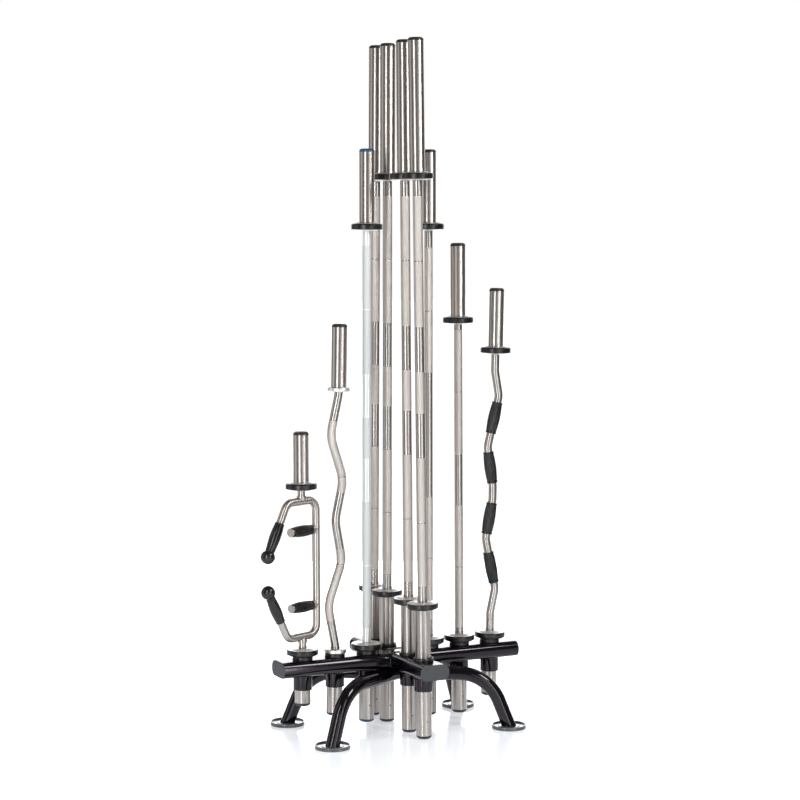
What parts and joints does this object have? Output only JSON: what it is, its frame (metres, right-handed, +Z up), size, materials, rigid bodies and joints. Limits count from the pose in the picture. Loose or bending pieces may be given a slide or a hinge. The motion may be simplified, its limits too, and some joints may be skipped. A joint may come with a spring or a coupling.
{
  "type": "barbell storage rack",
  "caption": "Floor stand of crossing flat-oval tubes on bent legs, with lined sockets that hold straight, curl and multi-grip barbells upright; bars lift out and sleeves spin.",
  "frame": {"origin": "on the floor, in the middle of the whole part's box; the beams cross 38.3 mm to its right, because the multi-grip bar reaches past the left end", "axes": "+X along the long beam, to the end with the rubber-gripped curl bar; +Y to the rear, away from the picture's camera; +Z up"},
  "size_m": [0.9199, 0.536, 2.2007],
  "materials": {
    "black_paint": "gloss black powder coat",
    "grey_plastic": "matte dark grey moulded plastic",
    "foot_rubber": "dark grey moulded rubber, satin",
    "black_plastic": "satin black plastic",
    "shaft_steel": "knurled satin steel",
    "sleeve_steel": "turned satin steel",
    "black_trim": "satin black plastic",
    "grip_rubber": "fluted black rubber"
  },
  "bodies": {
    "rack": {"long_beam": "black_paint", "front_arm": "black_paint", "rear_arm": "black_paint", "beam_end_caps": "grey_plastic", "legs": "black_paint", "feet": "foot_rubber", "socket_tubes": "black_paint", "socket_liners": "black_plastic"},
    "multi_grip_bar_shaft": {"multi_grip_bar_shaft": "shaft_steel", "multi_grip_bar_grips": "grip_rubber"},
    "multi_grip_bar_lower_sleeve": {"multi_grip_bar_lower_sleeve": "sleeve_steel", "multi_grip_bar_lower_trim": "black_trim"},
    "multi_grip_bar_upper_sleeve": {"multi_grip_bar_upper_sleeve": "sleeve_steel", "multi_grip_bar_upper_trim": "black_trim"},
    "curl_bar_shaft": {"curl_bar_shaft": "shaft_steel"},
    "curl_bar_lower_sleeve": {"curl_bar_lower_sleeve": "sleeve_steel", "curl_bar_lower_trim": "black_trim"},
    "curl_bar_upper_sleeve": {"curl_bar_upper_sleeve": "sleeve_steel", "curl_bar_upper_trim": "black_trim"},
    "left_straight_bar_shaft": {"left_straight_bar_shaft": "shaft_steel"},
    "left_straight_bar_lower_sleeve": {"left_straight_bar_lower_sleeve": "sleeve_steel", "left_straight_bar_lower_trim": "black_trim"},
    "left_straight_bar_upper_sleeve": {"left_straight_bar_upper_sleeve": "sleeve_steel", "left_straight_bar_upper_trim": "black_trim"},
    "right_straight_bar_shaft": {"right_straight_bar_shaft": "shaft_steel"},
    "right_straight_bar_lower_sleeve": {"right_straight_bar_lower_sleeve": "sleeve_steel", "right_straight_bar_lower_trim": "black_trim"},
    "right_straight_bar_upper_sleeve": {"right_straight_bar_upper_sleeve": "sleeve_steel", "right_straight_bar_upper_trim": "black_trim"},
    "short_bar_shaft": {"short_bar_shaft": "shaft_steel"},
    "short_bar_lower_sleeve": {"short_bar_lower_sleeve": "sleeve_steel", "short_bar_lower_trim": "black_trim"},
    "short_bar_upper_sleeve": {"short_bar_upper_sleeve": "sleeve_steel", "short_bar_upper_trim": "black_trim"},
    "gripped_curl_bar_shaft": {"gripped_curl_bar_shaft": "shaft_steel", "gripped_curl_bar_grips": "grip_rubber"},
    "gripped_curl_bar_lower_sleeve": {"gripped_curl_bar_lower_sleeve": "sleeve_steel", "gripped_curl_bar_lower_trim": "black_trim"},
    "gripped_curl_bar_upper_sleeve": {"gripped_curl_bar_upper_sleeve": "sleeve_steel", "gripped_curl_bar_upper_trim": "black_trim"},
    "front_outer_bar_shaft": {"front_outer_bar_shaft": "shaft_steel"},
    "front_outer_bar_lower_sleeve": {"front_outer_bar_lower_sleeve": "sleeve_steel", "front_outer_bar_lower_trim": "black_trim"},
    "front_outer_bar_upper_sleeve": {"front_outer_bar_upper_sleeve": "sleeve_steel", "front_outer_bar_upper_trim": "black_trim"},
    "front_inner_bar_shaft": {"front_inner_bar_shaft": "shaft_steel"},
    "front_inner_bar_lower_sleeve": {"front_inner_bar_lower_sleeve": "sleeve_steel", "front_inner_bar_lower_trim": "black_trim"},
    "front_inner_bar_upper_sleeve": {"front_inner_bar_upper_sleeve": "sleeve_steel", "front_inner_bar_upper_trim": "black_trim"},
    "rear_inner_bar_shaft": {"rear_inner_bar_shaft": "shaft_steel"},
    "rear_inner_bar_lower_sleeve": {"rear_inner_bar_lower_sleeve": "sleeve_steel", "rear_inner_bar_lower_trim": "black_trim"},
    "rear_inner_bar_upper_sleeve": {"rear_inner_bar_upper_sleeve": "sleeve_steel", "rear_inner_bar_upper_trim": "black_trim"},
    "rear_outer_bar_shaft": {"rear_outer_bar_shaft": "shaft_steel"},
    "rear_outer_bar_lower_sleeve": {"rear_outer_bar_lower_sleeve": "sleeve_steel", "rear_outer_bar_lower_trim": "black_trim"},
    "rear_outer_bar_upper_sleeve": {"rear_outer_bar_upper_sleeve": "sleeve_steel", "rear_outer_bar_upper_trim": "black_trim"}
  },
  "joints": [
    {"name": "multi_grip_bar_lift", "type": "slide", "parent": "rack", "child": "multi_grip_bar_shaft", "axis": [-0.0035, 0, 1], "range_m": [0, 0.3]},
    {"name": "multi_grip_bar_lower_spin", "type": "hinge", "parent": "multi_grip_bar_shaft", "child": "multi_grip_bar_lower_sleeve", "pos_m": [-0.29767, 0, 0.19466], "axis": [-0.0035, 0, 1], "continuous": true},
    {"name": "multi_grip_bar_upper_spin", "type": "hinge", "parent": "multi_grip_bar_shaft", "child": "multi_grip_bar_upper_sleeve", "pos_m": [-0.30007, 0, 0.88316], "axis": [-0.0035, 0, 1], "continuous": true},
    {"name": "curl_bar_lift", "type": "slide", "parent": "rack", "child": "curl_bar_shaft", "axis": [0.0178, 0, 0.9998], "range_m": [0, 0.3]},
    {"name": "curl_bar_lower_spin", "type": "hinge", "parent": "curl_bar_shaft", "child": "curl_bar_lower_sleeve", "pos_m": [-0.18641, 0, 0.16788], "axis": [0.0178, 0, 0.9998], "continuous": true},
    {"name": "curl_bar_upper_spin", "type": "hinge", "parent": "curl_bar_shaft", "child": "curl_bar_upper_sleeve", "pos_m": [-0.16795, 0, 1.20472], "axis": [0.0178, 0, 0.9998], "continuous": true},
    {"name": "left_straight_bar_lift", "type": "slide", "parent": "rack", "child": "left_straight_bar_shaft", "axis": [0.0023, 0, 1], "range_m": [0, 0.3]},
    {"name": "left_straight_bar_lower_spin", "type": "hinge", "parent": "left_straight_bar_shaft", "child": "left_straight_bar_lower_sleeve", "pos_m": [-0.07382, 0, 0.15787], "axis": [0.0023, 0, 1], "continuous": true},
    {"name": "left_straight_bar_upper_spin", "type": "hinge", "parent": "left_straight_bar_shaft", "child": "left_straight_bar_upper_sleeve", "pos_m": [-0.07025, 0, 1.73287], "axis": [0.0023, 0, 1], "continuous": true},
    {"name": "right_straight_bar_lift", "type": "slide", "parent": "rack", "child": "right_straight_bar_shaft", "axis": [-0.0019, 0, 1], "range_m": [0, 0.3]},
    {"name": "right_straight_bar_lower_spin", "type": "hinge", "parent": "right_straight_bar_shaft", "child": "right_straight_bar_lower_sleeve", "pos_m": [0.15038, 0, 0.15786], "axis": [-0.0019, 0, 1], "continuous": true},
    {"name": "right_straight_bar_upper_spin", "type": "hinge", "parent": "right_straight_bar_shaft", "child": "right_straight_bar_upper_sleeve", "pos_m": [0.14736, 0, 1.73286], "axis": [-0.0019, 0, 1], "continuous": true},
    {"name": "short_bar_lift", "type": "slide", "parent": "rack", "child": "short_bar_shaft", "axis": [-0.0065, 0, 1], "range_m": [0, 0.3]},
    {"name": "short_bar_lower_spin", "type": "hinge", "parent": "short_bar_shaft", "child": "short_bar_lower_sleeve", "pos_m": [0.26261, 0, 0.15651], "axis": [-0.0065, 0, 1], "continuous": true},
    {"name": "short_bar_upper_spin", "type": "hinge", "parent": "short_bar_shaft", "child": "short_bar_upper_sleeve", "pos_m": [0.25437, 0, 1.43248], "axis": [-0.0065, 0, 1], "continuous": true},
    {"name": "gripped_curl_bar_lift", "type": "slide", "parent": "rack", "child": "gripped_curl_bar_shaft", "axis": [0.0192, 0, 0.9998], "range_m": [0, 0.3]},
    {"name": "gripped_curl_bar_lower_spin", "type": "hinge", "parent": "gripped_curl_bar_shaft", "child": "gripped_curl_bar_lower_sleeve", "pos_m": [0.37377, 0, 0.17993], "axis": [0.0192, 0, 0.9998], "continuous": true},
    {"name": "gripped_curl_bar_upper_spin", "type": "hinge", "parent": "gripped_curl_bar_shaft", "child": "gripped_curl_bar_upper_sleeve", "pos_m": [0.39542, 0, 1.30772], "axis": [0.0192, 0, 0.9998], "continuous": true},
    {"name": "front_outer_bar_lift", "type": "slide", "parent": "rack", "child": "front_outer_bar_shaft", "axis": [-0.0145, 0, 0.9999], "range_m": [0, 0.3]},
    {"name": "front_outer_bar_lower_spin", "type": "hinge", "parent": "front_outer_bar_shaft", "child": "front_outer_bar_lower_sleeve", "pos_m": [0.03765, -0.1855, 0.22014], "axis": [-0.0145, 0, 0.9999], "continuous": true},
    {"name": "front_outer_bar_upper_spin", "type": "hinge", "parent": "front_outer_bar_shaft", "child": "front_outer_bar_upper_sleeve", "pos_m": [0.01214, -0.1855, 1.98095], "axis": [-0.0145, 0, 0.9999], "continuous": true},
    {"name": "front_inner_bar_lift", "type": "slide", "parent": "rack", "child": "front_inner_bar_shaft", "axis": [-0.0096, 0, 1], "range_m": [0, 0.3]},
    {"name": "front_inner_bar_lower_spin", "type": "hinge", "parent": "front_inner_bar_shaft", "child": "front_inner_bar_lower_sleeve", "pos_m": [0.03746, -0.083, 0.22003], "axis": [-0.0096, 0, 1], "continuous": true},
    {"name": "front_inner_bar_upper_spin", "type": "hinge", "parent": "front_inner_bar_shaft", "child": "front_inner_bar_upper_sleeve", "pos_m": [0.02056, -0.083, 1.98095], "axis": [-0.0096, 0, 1], "continuous": true},
    {"name": "rear_inner_bar_lift", "type": "slide", "parent": "rack", "child": "rear_inner_bar_shaft", "axis": [0.0017, 0, 1], "range_m": [0, 0.3]},
    {"name": "rear_inner_bar_lower_spin", "type": "hinge", "parent": "rear_inner_bar_shaft", "child": "rear_inner_bar_lower_sleeve", "pos_m": [0.03942, 0.083, 0.21984], "axis": [0.0017, 0, 1], "continuous": true},
    {"name": "rear_inner_bar_upper_spin", "type": "hinge", "parent": "rear_inner_bar_shaft", "child": "rear_inner_bar_upper_sleeve", "pos_m": [0.04249, 0.083, 1.98084], "axis": [0.0017, 0, 1], "continuous": true},
    {"name": "rear_outer_bar_lift", "type": "slide", "parent": "rack", "child": "rear_outer_bar_shaft", "axis": [0.0065, 0, 1], "range_m": [0, 0.3]},
    {"name": "rear_outer_bar_lower_spin", "type": "hinge", "parent": "rear_outer_bar_shaft", "child": "rear_outer_bar_lower_sleeve", "pos_m": [0.03924, 0.1855, 0.21996], "axis": [0.0065, 0, 1], "continuous": true},
    {"name": "rear_outer_bar_upper_spin", "type": "hinge", "parent": "rear_outer_bar_shaft", "child": "rear_outer_bar_upper_sleeve", "pos_m": [0.05061, 0.1855, 1.98092], "axis": [0.0065, 0, 1], "continuous": true}
  ]
}
